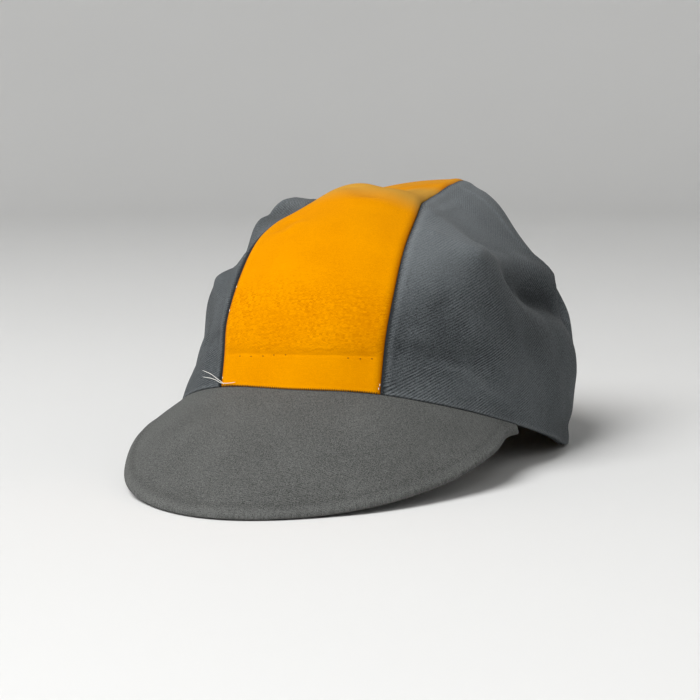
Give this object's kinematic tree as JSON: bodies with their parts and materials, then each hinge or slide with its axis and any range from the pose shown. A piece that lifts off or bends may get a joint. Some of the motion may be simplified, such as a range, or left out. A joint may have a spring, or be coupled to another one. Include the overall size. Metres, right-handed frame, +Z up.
{
  "type": "cycling cap",
  "caption": "Soft cotton cycling cap with a short downturned peak, a bright strip from front to back over the crown and a shaped dark side panel each side.",
  "frame": {"origin": "on the surface the cap rests on, under the middle of its length", "axes": "+Z up, -Y towards the tip of the peak, +X towards the wearer's left"},
  "size_m": [0.1605, 0.2594, 0.1141],
  "materials": {
    "strip_cloth": "matt cotton twill",
    "side_cloth": "matt cotton twill",
    "peak_cloth": "matt fine cotton twill",
    "band_cloth": "matt cotton tape"
  },
  "bodies": {
    "root": {"centre_panel": "strip_cloth", "side_panel_left": "side_cloth", "side_panel_right": "side_cloth", "peak": "peak_cloth", "sweatband": "band_cloth"}
  },
  "joints": []
}
